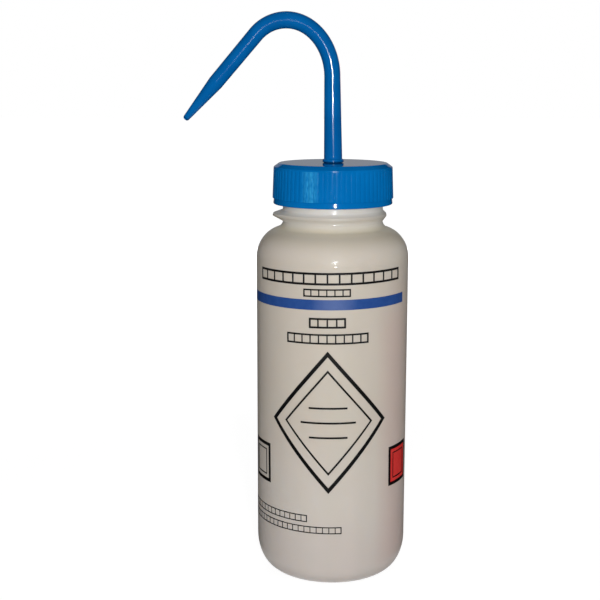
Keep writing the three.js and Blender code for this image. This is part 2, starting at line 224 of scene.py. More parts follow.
# Fine rings that show in the gloss from the middle of the shoulder upwards
RINGS_FADE = 4
RINGS_DEPTH = 0.2

# Place at the front where the blue ink is painted paler, a painted sheen
PAINTED_SHEEN_HALF_WIDTH = math.radians(17)
PAINTED_SHEEN_SHARE = 0.3

# Place on the ribs of the cap with a paler streak, a painted reflection
PAINTED_REFLECTION_ANGLE = math.radians(-23)
PAINTED_REFLECTION_HALF_WIDTH = math.radians(11)

# Range that most of a noise lies in
NOISE_LOW = 0.3
NOISE_HIGH = 0.7

# Numbers of facets round the pieces and along them, and the longest steps of a profile
BODY_COLUMNS = 384
COLUMNS_PER_RIB = 10
BAND_STEPS = 8
PINCH_STEPS = 40
TUBE_SIDES = 48
RISER_STEPS = 30
BEND_STEPS = 44
CROWN_STEPS = 24
LEG_STEPS = 20
NOZZLE_STEPS = 30
TIP_STEPS = 6
ARC_STEP = math.radians(7)
RELIEF_STEP = 0.25

# Camera of the photograph, with its place in millimetres
CAMERA_PLACE = (-15.42, -570.41, 238.64)
CAMERA_PITCH = math.radians(10.584)
CAMERA_ROLL = math.radians(0.095)
CAMERA_LENS = 72.62
CAMERA_SENSOR = 36

# Stage, in metres, with light as shares of white. A lamp's row is its name, its place, its side,
# its light and whether it shows in the gloss of the plastic.
LAMP_TARGET = (0, 0, 0.13)
LAMPS = [
    ("key", (-0.04, -1, 0.27), 0.3, 0.47, False),
    ("spark", (0.028, -0.59, 0.236), 0.022, 0.27, True),
    ("top", (0, 0.05, 1.1), 0.6, 0.04, False),
    ("back", (0, 1.1, 0.2), 0.5, 0.35, False),
    ("back_left", (-0.94, 0.34, 0.1), 0.3, 0.05, False),
    ("back_right", (0.94, 0.34, 0.1), 0.3, 0.19, False),
]
ROOM_LIGHT = 0.3
ROOM_LIGHT_ABOVE = 0.15
FLOOR_SIZE = 12
FLOOR_SHADE = 0.3
FLOOR_GLOW = 0.87
FLOOR_NEAR = 0.25
FLOOR_FAR = 0.7
SCREEN_FOOT_RADIUS = 0.031
SCREEN_FOOT_Z = 0.0005
SCREEN_NEAR_RADIUS = 0.045
NEAR_GLOW = 0.42
SCREEN_RADIUS = 1.8
SCREEN_HEIGHT = 1.6
SCREEN_LID_RADIUS = 0.05
SCREEN_COLUMNS = 48
GREY_HALF_ANGLE = math.radians(20)
GREY_GLOW = 0.34

# Levels and radii that follow
SHOULDER_Z = CORNER_HEIGHT + SIDE_HEIGHT
BORE_RADIUS = NECK_RADIUS - NECK_WALL
CAP_BORE_RADIUS = NECK_RADIUS + THREAD_DEPTH + THREAD_CLEARANCE
CAP_BAND_RADIUS = CAP_BORE_RADIUS + CAP_WALL
CAP_INNER_Z = CAP_TOP_Z - CAP_TOP_THICKNESS
CAP_CHAMFER_Z = CAP_TOP_Z - CAP_CHAMFER_HEIGHT
RIB_FOOT_Z = CAP_FOOT_Z + CAP_BAND_HEIGHT
RIB_TOP_Z = CAP_CHAMFER_Z - RIB_TOP_MARGIN
HOLE_RADIUS = TUBE_FOOT_RADIUS + HOLE_CLEARANCE
CAP_THREAD_Z = CAP_FOOT_Z + CAP_THREAD_MARGIN + THREAD_ROOT_WIDTH / 2
NECK_THREAD_Z = CAP_THREAD_Z + THREAD_PITCH / 2
RING_FOOT_Z = CAP_FOOT_Z - RING_FOOT_BELOW_CAP
RING_TOP_Z = RING_FOOT_Z + RING_LOWER_SLOPE + RING_EDGE + RING_UPPER_SLOPE
FLANGE_Z = SOCKET_Z + SOCKET_DEPTH


# Profile lines, as (radius, z) points


def ellipse_line(centre, width, height, start, end):
    """Points on an ellipse about a centre, from one angle to another."""
    steps = math.ceil(abs(end - start) / ARC_STEP) * 2
    points = []
    for i in range(steps + 1):
        angle = start + (end - start) * i / steps
        points.append((centre[0] + width * math.cos(angle), centre[1] + height * math.sin(angle)))
    return points


def corner_line(wall, floor):
    """The rounded lower corner of the body, inside it by a wall and above it by a floor."""
    centre = (BODY_RADIUS - CORNER_WIDTH, CORNER_HEIGHT)
    return ellipse_line(centre, CORNER_WIDTH - wall, CORNER_HEIGHT - floor, -math.pi / 2, 0)


def shoulder_line(body_radius, neck_radius, height, top_z):
    """The shoulder, and the fillet that leads from it up into the neck and ends at the top."""
    axis = neck_radius - SHOULDER_OVERLAP
    width = body_radius - axis
    shoulder = ellipse_line((axis, SHOULDER_Z), width, height, 0, SHOULDER_END_ANGLE)
    last = Vector(shoulder[-1])
    normal = Vector((math.cos(SHOULDER_END_ANGLE) / width, math.sin(SHOULDER_END_ANGLE) / height))
    normal.normalize()
    fillet = (last.x - neck_radius) / (1 - normal.x)
    start = math.atan2(-normal.y, -normal.x)
    root = ellipse_line(last + normal * fillet, fillet, fillet, start, -math.pi)
    return shoulder + [point for point in root[1:] if point[1] < top_z]


def rounded(corners):
    """A line through (radius, z, rounding) corners, with an arc in place of each rounded one."""
    points = []
    for i, (x, z, rounding) in enumerate(corners):
        corner = Vector((x, z))
        if rounding == 0:
            points.append((x, z))
            continue
        before = (Vector(corners[i - 1][:2]) - corner).normalized()
        after = (Vector(corners[(i + 1) % len(corners)][:2]) - corner).normalized()
        half = before.angle(after) / 2
        centre = corner + (before + after).normalized() * rounding / math.sin(half)
        start = corner + before * rounding / math.tan(half) - centre
        end = corner + after * rounding / math.tan(half) - centre
        turn = math.atan2(start.x * end.y - start.y * end.x, start.dot(end))
        steps = max(2, math.ceil(abs(turn) / ARC_STEP / 2))
        for k in range(steps + 1):
            points.append(tuple(centre + Matrix.Rotation(turn * k / steps, 2) @ start))
    return points


def filled(points, step):
    """The same line with no stretch of it longer than a step."""
    dense = [points[0]]
    for start, end in zip(points, points[1:]):
        steps = max(1, math.ceil(math.dist(start, end) / step))
        for k in range(1, steps + 1):
            share = k / steps
            dense.append(tuple(a + (b - a) * share for a, b in zip(start, end)))
    return dense


# Meshes


def new_piece(name, points, faces, smooth=True):
    """A mesh object from points in millimetres, shaded smooth or flat."""
    mesh = bpy.data.meshes.new(name)
    mesh.from_pydata([Vector(point) * MM for point in points], [], faces)
    mesh.validate()
    if smooth:
        mesh.shade_smooth()
    else:
        mesh.shade_flat()
    piece = bpy.data.objects.new(name, mesh)
    bpy.context.scene.collection.objects.link(piece)
    return piece


def lathe(profile, columns, relief=None):
    """Revolves a profile of (radius, z) points, which starts and ends on the axis or closes on
    itself. The relief gives each point's radius from its own radius, height and angle."""
    points, rows = [], []
    for radius, z in profile:
        if radius == 0:
            rows.append([len(points)])
            points.append((0, 0, z))
            continue
        rows.append(list(range(len(points), len(points) + columns)))
        for column in range(columns):
            angle = TAU * column / columns
            r = relief(radius, z, angle) if relief else radius
            points.append((r * math.cos(angle), r * math.sin(angle), z))
    closed = len(rows[0]) > 1
    pairs = list(zip(rows, rows[1:] + rows[:1])) if closed else list(zip(rows, rows[1:]))
    faces = []
    for lower, upper in pairs:
        for i in range(columns):
            j = (i + 1) % columns
            if len(lower) == 1:
                faces.append((lower[0], upper[j], upper[i]))
            elif len(upper) == 1:
                faces.append((lower[i], lower[j], upper[0]))
            else:
                faces.append((lower[i], lower[j], upper[j], upper[i]))
    return points, faces


def skin(rows, looped):
    """Joins rows of points, each a closed loop, into one closed skin. A looped skin joins its
    last row to its first, and an open one has a face at each end."""
    across = len(rows[0])
    points = [point for row in rows for point in row]
    faces = []
    for row in range(len(rows) if looped else len(rows) - 1):
        here, there = row * across, (row + 1) % len(rows) * across
        for i in range(across):
            j = (i + 1) % across
            faces.append((here + i, here + j, there + j, there + i))
    if not looped:
        last = (len(rows) - 1) * across
        faces.append(tuple(reversed(range(across))))
        faces.append(tuple(range(last, last + across)))
    return points, faces


def joined(parts):
    """One list of points and one of faces from several."""
    points, faces = [], []
    for part_points, part_faces in parts:
        faces += [tuple(len(points) + i for i in face) for face in part_faces]
        points += part_points
    return points, faces


# Screw thread and relief


def eased(share):
    """A share from 0 to 1 with a soft start and end."""
    return share * share * (3 - 2 * share)


def ridge_reach(angle, z, start_z, turns):
    """How far a thread's ridge stands out at an angle and a height, from 0 to its depth."""
    reach = 0
    for turn in range(math.ceil(turns) + 1):
        turned = (angle - THREAD_START_ANGLE) % TAU + TAU * turn
        if turned > TAU * turns:
            continue
        away = abs(z - start_z - THREAD_PITCH * turned / TAU)
        flank = (THREAD_ROOT_WIDTH / 2 - away) / (THREAD_ROOT_WIDTH - THREAD_CREST_WIDTH) * 2
        fade = min(1, turned / THREAD_FADE_ANGLE, (TAU * turns - turned) / THREAD_FADE_ANGLE)
        reach = max(reach, THREAD_DEPTH * eased(max(0, min(1, flank)) * fade))
    return reach


def bottle_relief(radius, z, angle):
    """The lug, the thread and the mould's parting line on the outside of the bottle."""
    root_radius = NECK_RADIUS + NECK_ROOT_WIDTH
    if RING_FOOT_Z <= z <= RING_TOP_Z and radius > root_radius:
        lug_share = max(0, -math.cos(angle)) ** LUG_SHARPNESS
        ring_share = (radius - root_radius) / (RING_REACH - NECK_ROOT_WIDTH)
        return radius + LUG_REACH * lug_share * ring_share
    if z > RING_TOP_Z and radius > NECK_RADIUS - RIM_ROUNDING:
        return radius + ridge_reach(angle, z, NECK_THREAD_Z, NECK_THREAD_TURNS)
    outside = radius > BODY_RADIUS - BODY_WALL / 2
    on_seam = abs(math.sin(angle)) < math.pi / BODY_COLUMNS
    return radius + SEAM_HEIGHT if outside and on_seam else radius


def cap_relief(radius, z, angle):
    """The grooves between the ribs outside the cap, and the thread inside it."""
    if radius == CAP_BORE_RADIUS:
        return radius - ridge_reach(angle, z, CAP_THREAD_Z, CAP_THREAD_TURNS)
    if radius < CAP_BORE_RADIUS or not RIB_FOOT_Z < z < RIB_TOP_Z:
        return radius
    across = abs((angle * RIB_COUNT / TAU + 0.5) % 1 - 0.5)
    share = max(0, 1 - across / (GROOVE_SHARE / 2))
    end = min(1, (RIB_TOP_Z - z) / RIB_FADE)
    return radius - GROOVE_DEPTH * eased(share) * math.sqrt(end * (2 - end))


# Bottle


def bottle_piece():
    """The shell of the bottle, from the recess of its base up over the rim and down inside."""
    standing_radius = BODY_RADIUS - CORNER_WIDTH - STANDING_WIDTH
    floor_z = RECESS_DEPTH + FLOOR_THICKNESS
    edge = NECK_RADIUS + RING_REACH
    edge_z = RING_FOOT_Z + RING_LOWER_SLOPE
    neck = rounded([
        (NECK_RADIUS, RING_FOOT_Z, 0),
        (edge, edge_z, RING_ROUNDING),
        (edge - RING_EDGE_DRAFT, edge_z + RING_EDGE, RING_ROUNDING),
        (NECK_RADIUS + NECK_ROOT_WIDTH, RING_TOP_Z, 0),
    ])
    rim = rounded([
        (NECK_RADIUS + NECK_ROOT_WIDTH, RING_TOP_Z, 0),
        (NECK_RADIUS, RING_TOP_Z + NECK_ROOT_HEIGHT, 0),
        (NECK_RADIUS, RIM_Z, RIM_ROUNDING),
        (BORE_RADIUS, RIM_Z, RIM_ROUNDING),
        (BORE_RADIUS, RIM_Z - NECK_WALL, 0),
    ])
    base = rounded([
        (0, RECESS_DEPTH, 0),
        (standing_radius - RECESS_SLOPE_WIDTH, RECESS_DEPTH, RECESS_ROUNDING),
        (standing_radius, 0, RECESS_ROUNDING),
        (standing_radius + STANDING_WIDTH, 0, 0),
    ])
    outside = [
        *base,
        *corner_line(0, 0)[1:],
        *shoulder_line(BODY_RADIUS, NECK_RADIUS, SHOULDER_HEIGHT, RING_FOOT_Z),
        *neck,
        *filled(rim, RELIEF_STEP)[1:],
    ]
    inner_radius = BODY_RADIUS - BODY_WALL
    inner_height = SHOULDER_HEIGHT - BODY_WALL
    inside = [
        (0, floor_z),
        *corner_line(BODY_WALL, floor_z),
        *shoulder_line(inner_radius, BORE_RADIUS, inner_height, RING_FOOT_Z),
    ]
    points, faces = lathe(outside + inside[::-1], BODY_COLUMNS, bottle_relief)
    return new_piece("bottle_shell", points, faces)


def pinch_piece():
    """The line across the base where the mould pinched the parison shut."""
    rows = []
    half = PINCH_WIDTH / 2
    top = RECESS_DEPTH + INK_SINK
    for i in range(PINCH_STEPS + 1):
        share = i / PINCH_STEPS * 2 - 1
        low = top - PINCH_HEIGHT * (1 - share ** PINCH_END_BLUNTNESS)
        x = share * PINCH_LENGTH / 2
        rows.append([(x, -half, top), (x, -half / 2, low), (x, half / 2, low), (x, half, top)])
    points, faces = skin(rows, False)
    return new_piece("base_pinch_line", points, faces)


# Screw cap, sealing disc and dip tube


def cap_piece():
    """The cap, with a crowned band at its foot, ribs, a chamfer and a hole in its top. Its flat
    faces and the plain upper part of its bore have rows of points only near their edges."""
    rib_radius = CAP_BAND_RADIUS + RIB_DEPTH
    upper_radius = rib_radius - CAP_DRAFT
    band_z = (CAP_FOOT_Z + CAP_ROUNDING + RIB_FOOT_Z) / 2
    band_half = RIB_FOOT_Z - band_z
    band = []
    for i in range(BAND_STEPS + 1):
        share = i / BAND_STEPS * 2 - 1
        radius = CAP_BAND_RADIUS - CAP_BAND_CROWN * share ** 2 - CAP_BAND_DRAFT * share
        band.append((radius, band_z + band_half * share, 0))
    wall = rounded([
        (CAP_BORE_RADIUS, CAP_FOOT_Z, 0),
        (CAP_BAND_RADIUS - CAP_BAND_CROWN, CAP_FOOT_Z, CAP_FOOT_ROUNDING),
        *band,
        (rib_radius, RIB_FOOT_Z, CAP_ROUNDING / 4),
        (upper_radius, CAP_CHAMFER_Z, CAP_ROUNDING),
        (upper_radius - CAP_CHAMFER_WIDTH, CAP_TOP_Z, CAP_ROUNDING),
        (HOLE_RADIUS, CAP_TOP_Z, CAP_ROUNDING / 2),
        (HOLE_RADIUS, CAP_INNER_Z, 0),
        (CAP_BORE_RADIUS, CAP_INNER_Z, 0),
    ])
    margin = 2 * CAP_ROUNDING
    flat_from, flat_to = HOLE_RADIUS + margin, upper_radius - CAP_CHAMFER_WIDTH - margin
    wall = [point for point in filled(wall, CAP_ROUNDING) if not flat_from < point[0] < flat_to]
    thread_top_z = CAP_THREAD_Z + THREAD_PITCH * CAP_THREAD_TURNS + THREAD_ROOT_WIDTH
    bore = filled([(CAP_BORE_RADIUS, CAP_INNER_Z), (CAP_BORE_RADIUS, CAP_FOOT_Z)], RELIEF_STEP)
    bore = [point for point in bore[1:-1] if not thread_top_z < point[1] < CAP_INNER_Z - margin]
    points, faces = lathe(wall + bore, RIB_COUNT * COLUMNS_PER_RIB, cap_relief)
    return new_piece("ribbed_cap", points, faces)


def liner_piece():
    """The sealing disc, a flat ring about the delivery tube with rounded edges."""
    edge = (LINER_TOP_Z - LINER_Z) / 4
    profile = rounded([
        (HOLE_RADIUS, LINER_Z, edge),
        (LINER_RADIUS, LINER_Z, edge),
        (LINER_RADIUS, LINER_TOP_Z, edge),
        (HOLE_RADIUS, LINER_TOP_Z, edge),
    ])
    points, faces = lathe(profile, BODY_COLUMNS // 2)
    return new_piece("sealing_disc", points, faces)


def slant_cut(x, y, z):
    """Where a point of the dip tube lies once its foot is cut at a slant."""
    nearness = max(0, 1 - (z - DIP_FOOT_Z) / DIP_RADIUS)
    return x, y, z + nearness * (DIP_RADIUS + x) * math.tan(DIP_CUT_ANGLE)


def dip_tube_piece():
    """The straight dip tube, with its foot cut at a slant."""
    bore = DIP_RADIUS - DIP_WALL
    edge = DIP_WALL / 4
    profile = rounded([
        (bore, DIP_FOOT_Z, edge),
        (DIP_RADIUS, DIP_FOOT_Z, edge),
        (DIP_RADIUS, DIP_TOP_Z, edge),
        (bore, DIP_TOP_Z, edge),
    ])
    points, faces = lathe(profile, TUBE_SIDES)
    return new_piece("straight_dip_tube", [slant_cut(*point) for point in points], faces)


# Delivery tube


def spout_line():
    """The centre line above the bead, as rows of a place, a tangent, a radius and a bore's radius.
    The places and tangents are (x, z) vectors in the plane that the tube bends in."""
    foot = Vector((0, CAP_TOP_Z + SEAT_GAP + BEAD_HEIGHT))
    crown_z = CROWN_TOP_Z - TUBE_CROWN_RADIUS
    riser_top = Vector((-RISER_LEAN, crown_z - BEND_HEIGHT))
    crown_centre = Vector((riser_top.x - BEND_WIDTH, crown_z - CROWN_ARC_RADIUS))
    down = Vector((-math.cos(LEG_ANGLE), -math.sin(LEG_ANGLE)))
    normal = Vector((-math.sin(LEG_ANGLE), math.cos(LEG_ANGLE)))
    leg_top = crown_centre + normal * CROWN_ARC_RADIUS
    nozzle_top = leg_top + down * LEG_LENGTH
    tip = nozzle_top + down * NOZZLE_LENGTH

    def straight(start, end):
        direction = (end - start).normalized()
        return lambda share: (start.lerp(end, share), direction)

    def arc(centre, width, height, first, last):
        def place(share):
            angle = first + (last - first) * share
            at = centre + Vector((width * math.cos(angle), height * math.sin(angle)))
            return at, Vector((-width * math.sin(angle), height * math.cos(angle))).normalized()
        return place

    upright = math.pi / 2
    riser = straight(foot, riser_top)
    bend = arc(Vector((crown_centre.x, riser_top.y)), BEND_WIDTH, BEND_HEIGHT, 0, upright)
    crown = arc(crown_centre, CROWN_ARC_RADIUS, CROWN_ARC_RADIUS, upright, upright + LEG_ANGLE)
    leg = straight(leg_top, nozzle_top)
    nozzle = straight(nozzle_top, tip)
    bore = TUBE_BORE_RADIUS
    tip_bore = TUBE_TIP_RADIUS - TUBE_TIP_WALL
    stretches = [
        (riser, RISER_STEPS, TUBE_FOOT_RADIUS, TUBE_RISER_RADIUS, bore, bore),
        (bend, BEND_STEPS, TUBE_RISER_RADIUS, TUBE_CROWN_RADIUS, bore, bore),
        (crown, CROWN_STEPS, TUBE_CROWN_RADIUS, TUBE_LEG_RADIUS, bore, bore),
        (leg, LEG_STEPS, TUBE_LEG_RADIUS, TUBE_NOZZLE_RADIUS, bore, bore),
        (nozzle, NOZZLE_STEPS, TUBE_NOZZLE_RADIUS, TUBE_TIP_RADIUS, bore, tip_bore),
    ]
    rows = []
    for place, steps, outer_from, outer_to, bore_from, bore_to in stretches:
        for i in range(1 if rows else 0, steps + 1):
            share = i / steps
            at, tangent = place(share)
            outer = outer_from + (outer_to - outer_from) * share
            rows.append((at, tangent, outer, bore_from + (bore_to - bore_from) * share))
    return rows


def tube_row(at, tangent, radius, seam=0):
    """One round row of points about a point of the centre line, square to the line there, with a
    parting line of the mould in the plane that the tube bends in."""
    row = []
    for i in range(TUBE_SIDES):
        angle = TAU * i / TUBE_SIDES
        reach = radius + (seam if i % (TUBE_SIDES // 2) == 0 else 0)
        in_plane, across = reach * math.cos(angle), reach * math.sin(angle)
        row.append((at.x + tangent.y * in_plane, across, at.y - tangent.x * in_plane))
    return row


def foot_rows(levels):
    """Rows along the foot of the tube, which stands on the Z axis, from (radius, z) levels."""
    up = Vector((0, 1))
    return [tube_row(Vector((0, z)), up, radius) for radius, z in levels]


def delivery_tube_piece():
    """The delivery tube: socket and flange under the cap, bead on it, riser, bend, leg, nozzle."""
    socket_radius = DIP_RADIUS + SOCKET_CLEARANCE
    stub_radius = socket_radius + SOCKET_WALL
    flange_radius = TUBE_FOOT_RADIUS + FLANGE_REACH
    flange_top_z = FLANGE_Z + FLANGE_THICKNESS
    bead_radius = TUBE_FOOT_RADIUS + BEAD_REACH
    bead_z = CAP_TOP_Z + SEAT_GAP
    bead_top_z = bead_z + BEAD_HEIGHT
    edge = SOCKET_WALL / 4
    foot = rounded([
        (socket_radius, SOCKET_Z, edge),
        (stub_radius, SOCKET_Z, edge),
        (stub_radius, FLANGE_Z, 0),
        (flange_radius, FLANGE_Z, edge),
        (flange_radius, flange_top_z, edge),
        (TUBE_FOOT_RADIUS, flange_top_z, 0),
        (TUBE_FOOT_RADIUS, bead_z, 0),
        (bead_radius, bead_z, edge),
        (bead_radius - BEAD_DRAFT, bead_top_z, BEAD_HEIGHT / 4),
        (TUBE_FOOT_RADIUS + edge, bead_top_z, edge),
        (TUBE_FOOT_RADIUS, bead_top_z + edge, 0),
    ])
    line = [row for row in spout_line() if row[0].y > bead_top_z + edge]
    tip_end, tip_tangent, tip_radius, tip_bore = line[-1]
    tip_at = tip_end - tip_tangent * TIP_ROUNDING
    line[-1] = (tip_at, tip_tangent, tip_radius, tip_bore)
    outer = [tube_row(at, tangent, radius, TUBE_SEAM_HEIGHT) for at, tangent, radius, _ in line]
    bore = [tube_row(at, tangent, inner) for at, tangent, _, inner in line]
    for step in range(1, TIP_STEPS + 1):
        angle = math.pi / 2 * step / TIP_STEPS
        at = tip_at + tip_tangent * TIP_ROUNDING * math.sin(angle)
        outer.append(tube_row(at, tip_tangent, tip_radius - TIP_ROUNDING * (1 - math.cos(angle))))
    bore.append(tube_row(at, tip_tangent, tip_bore))
    socket = foot_rows([(TUBE_BORE_RADIUS, FLANGE_Z), (socket_radius, FLANGE_Z)])
    points, faces = skin(foot_rows(foot) + outer + bore[::-1] + socket, True)
    return new_piece("bent_delivery_tube", points, faces)


# Print: ink marks on the wall, drawn in (along, z) places on it


def on_wall(along, z, radius):
    """The point of the wall at a place of the print, at a radius."""
    tilted_z = z + (along - PRINT_CENTRE) * math.tan(PRINT_TILT)
    tilted = along - (z - PRINT_TILT_Z) * math.tan(PRINT_TILT)
    angle = tilted / BODY_RADIUS
    return radius * math.sin(angle), -radius * math.cos(angle), tilted_z


def ink(pairs, looped, thickness=INK_THICKNESS):
    """A thin layer of ink between two edges, given as pairs of places across it."""
    low, high = BODY_RADIUS - INK_SINK, BODY_RADIUS + thickness
    rows = []
    for a, b in pairs:
        rows.append([on_wall(*b, low), on_wall(*b, high), on_wall(*a, high), on_wall(*a, low)])
    return skin(rows, looped)


def outline(corners, line, thickness=INK_THICKNESS):
    """The ink of a closed outline, which lies inside its corners by the width of its line."""
    count = len(corners)
    inner = []
    for i, corner in enumerate(corners):
        at = Vector(corner)
        before = (Vector(corners[i - 1]) - at).normalized()
        after = (Vector(corners[(i + 1) % count]) - at).normalized()
        half = before.angle(after) / 2
        inner.append(at + (before + after).normalized() * line / math.sin(half))
    pairs = []
    for i in range(count):
        j = (i + 1) % count
        a, b = Vector(corners[i]), Vector(corners[j])
        steps = max(1, math.ceil((b - a).length / INK_STEP))
        for k in range(steps):
            share = k / steps
            pairs.append((a.lerp(b, share), inner[i].lerp(inner[j], share)))
    return ink(pairs, True, thickness)


def bar(left, right, low, high):
    """The ink of a level bar."""
    steps = max(1, math.ceil((right - left) / INK_STEP))
    places = [left + (right - left) * i / steps for i in range(steps + 1)]
    return ink([((along, low), (along, high)) for along in places], False)


def rectangle(left, right, low, high):
    """The corners of a rectangle, in the order that an outline goes round."""
    return [(left, low), (right, low), (right, high), (left, high)]


def writing_field(left, right, z, height, cells, line):
    """A field to write in, with a thin wall between one letter's cell and the next."""
    low, high = z - height / 2, z + height / 2
    marks = [outline(rectangle(left, right, low, high), line)]
    half = line * HALF_CELL_WALL_SHARE
    for i in range(1, cells):
        at = left + (right - left) * i / cells
        marks.append(bar(at - half, at + half, low + line, high - line))
    return marks


def diamond(share, line):
    """A diamond of that share of the outer one's size."""
    half_width, half_height = DIAMOND_HALF_WIDTH * share, DIAMOND_HALF_HEIGHT * share
    corners = [
        (PRINT_CENTRE, DIAMOND_Z - half_height),
        (PRINT_CENTRE + half_width, DIAMOND_Z),
        (PRINT_CENTRE, DIAMOND_Z + half_height),
        (PRINT_CENTRE - half_width, DIAMOND_Z),
    ]
    return outline(corners, line)


def diamond_field():
    """A diamond with a smaller one in it, which holds ruled lines to write on."""
    marks = [diamond(1, DIAMOND_LINE), diamond(INNER_DIAMOND_SHARE, INNER_DIAMOND_LINE)]
    half_line = INNER_DIAMOND_LINE / 2
    for above, half in DIAMOND_RULES:
        z = DIAMOND_Z + above
        marks.append(bar(PRINT_CENTRE - half, PRINT_CENTRE + half, z - half_line, z + half_line))
    return marks


def panel(left, right, low, high):
    """A square frame with a thin one in it."""
    marks = []
    for inset, line in ((0, PANEL_LINE), (INNER_PANEL_INSET, INNER_PANEL_LINE)):
        corners = rectangle(left + inset, right - inset, low + inset, high - inset)
        marks.append(outline(corners, line, TOP_INK_THICKNESS))
    return marks


def black_print():
    """The diamond, the panels' frames and the fields to write in."""
    marks = diamond_field() + panel(**LEFT_PANEL) + panel(**RIGHT_PANEL)
    for field in WRITING_FIELDS:
        marks += writing_field(**field)
    points, faces = joined(marks)
    return new_piece("print_black", points, faces, smooth=False)


def blue_print():
    """The stripe, which runs on round the left side."""
    low, high = STRIPE["z"] - STRIPE["height"] / 2, STRIPE["z"] + STRIPE["height"] / 2
    points, faces = bar(STRIPE["left"], STRIPE["right"], low, high)
    return new_piece("print_blue_stripe", points, faces, smooth=False)


def red_print():
    """The ground of the right panel, which reaches under its frame."""
    half = PANEL_LINE / 2
    left, right = RIGHT_PANEL["left"] + half, RIGHT_PANEL["right"] - half
    low, high = RIGHT_PANEL["low"] + half, RIGHT_PANEL["high"] - half
    points, faces = bar(left, right, low, high)
    return new_piece("print_red_panel", points, faces, smooth=False)


# Materials


def linear(red, green, blue):
    """A colour of the screen, from 0 to 255 a channel, as the light that it gives."""
    channels = [value / 255 for value in (red, green, blue)]
    return [c / 12.92 if c <= 0.04045 else ((c + 0.055) / 1.055) ** 2.4 for c in channels] + [1]


def map_range(tree, value, from_low, from_high, low, high):
    """A value carried from one range to another, by a node of its own."""
    node = tree.nodes.new("ShaderNodeMapRange")
    node.inputs["From Min"].default_value = from_low
    node.inputs["From Max"].default_value = from_high
    node.inputs["To Min"].default_value = low
    node.inputs["To Max"].default_value = high
    tree.links.new(value, node.inputs["Value"])
    return node.outputs["Result"]


class Look:
    """A material with a Principled shader, and short ways to add the nodes that feed it."""

    def __init__(self, name):
        self.material = bpy.data.materials.new(name)
        self.material.use_nodes = True
        self.tree = self.material.node_tree
        self.shader = self.tree.nodes["Principled BSDF"]
        self.place = self.node("ShaderNodeTexCoord").outputs["Object"]

    def node(self, kind, **settings):
        """A new node, with its settings."""
        made = self.tree.nodes.new(kind)
        for name, value in settings.items():
            setattr(made, name, value)
        return made

    def link(self, source, target):
        self.tree.links.new(source, target)

    def stretched(self, x, y, z):
        """The place on the piece, with each axis scaled."""
        mapping = self.node("ShaderNodeMapping")
        mapping.inputs["Scale"].default_value = (x, y, z)
        self.link(self.place, mapping.inputs["Vector"])
        return mapping.outputs["Vector"]

    def noise(self, scale, detail=2, place=None):
        """A noise from 0 to 1 with that many grains in a metre."""
        noise = self.node("ShaderNodeTexNoise")
        noise.inputs["Scale"].default_value = scale
        noise.inputs["Detail"].default_value = detail
        self.link(place or self.place, noise.inputs["Vector"])
        return noise.outputs["Fac"]

    def height(self):
        """The height on the object, in metres."""
        split = self.node("ShaderNodeSeparateXYZ")
        self.link(self.place, split.inputs["Vector"])
        return split.outputs["Z"]

    def spread(self, value, low, high, from_low=NOISE_LOW, from_high=NOISE_HIGH):
        """A value carried from a range, which is a noise's unless it is given, to another."""
        return map_range(self.tree, value, from_low, from_high, low, high)

    def mix(self, factor, first, second):
        """A mix of two colours, each a colour or an output."""
        mix = self.node("ShaderNodeMix", data_type="RGBA")
        self.link(factor, mix.inputs["Factor"])
        for name, value in (("A", first), ("B", second)):
            socket = [s for s in mix.inputs if s.name == name and s.type == "RGBA"][0]
            if isinstance(value, list):
                socket.default_value = value
            else:
                self.link(value, socket)
        return [s for s in mix.outputs if s.type == "RGBA"][0]

    def blend(self, factor, first, second):
        """A mix of two values, in which None stands for 0."""
        blend = self.node("ShaderNodeMix")
        for socket, value in zip(blend.inputs, (factor, None, first, second)):
            if value:
                self.link(value, socket)
        return blend.outputs[0]

    def height_ramp(self, stops):
        """A colour by height, from stops of a height in millimetres and a colour of the screen."""
        top = stops[-1][0]
        share = self.spread(self.height(), 0, 1, 0, top * MM)
        ramp = self.node("ShaderNodeValToRGB")
        ramp.color_ramp.interpolation = "EASE"
        while len(ramp.color_ramp.elements) < len(stops):
            ramp.color_ramp.elements.new(0.5)
        for element, (at, colour) in zip(ramp.color_ramp.elements, stops):
            element.position = at / top
            element.color = linear(*colour)
        self.link(share, ramp.inputs["Fac"])
        return ramp.outputs["Color"]

    def above(self, z, fade):
        """0 up to a height and 1 from a fade above it, both in millimetres."""
        return self.spread(self.height(), 0, 1, z * MM, (z + fade) * MM)

    def beside(self, angle, half_width, most):
        """The most on a round wall at an angle from the front, and 0 beyond a half width."""
        level = self.node("ShaderNodeVectorMath", operation="MULTIPLY")
        self.link(self.place, level.inputs[0])
        level.inputs[1].default_value = (1, 1, 0)
        outward = self.node("ShaderNodeVectorMath", operation="NORMALIZE")
        self.link(level.outputs["Vector"], outward.inputs[0])
        turned = self.node("ShaderNodeVectorMath", operation="DOT_PRODUCT")
        self.link(outward.outputs["Vector"], turned.inputs[0])
        turned.inputs[1].default_value = (math.sin(angle), -math.cos(angle), 0)
        return self.spread(turned.outputs["Value"], 0, most, math.cos(half_width), 1)

    def bump(self, height, distance, below=None):
        """A bump of that many millimetres, which may lie over another."""
        bump = self.node("ShaderNodeBump")
        bump.inputs["Distance"].default_value = distance * MM
        self.link(height, bump.inputs["Height"])
        if below:
            self.link(below, bump.inputs["Normal"])
        return bump.outputs["Normal"]

    def finish(self, colour, roughness, normal):
        """The material, once these outputs feed its shader."""
        self.link(colour, self.shader.inputs["Base Color"])
        self.link(roughness, self.shader.inputs["Roughness"])
        self.link(normal, self.shader.inputs["Normal"])
        return self.material

    def set(self, **values):
        """Sets inputs of the shader, with an underscore for each space of a name."""
        for name, value in values.items():
            self.shader.inputs[name.replace("_", " ")].default_value = value


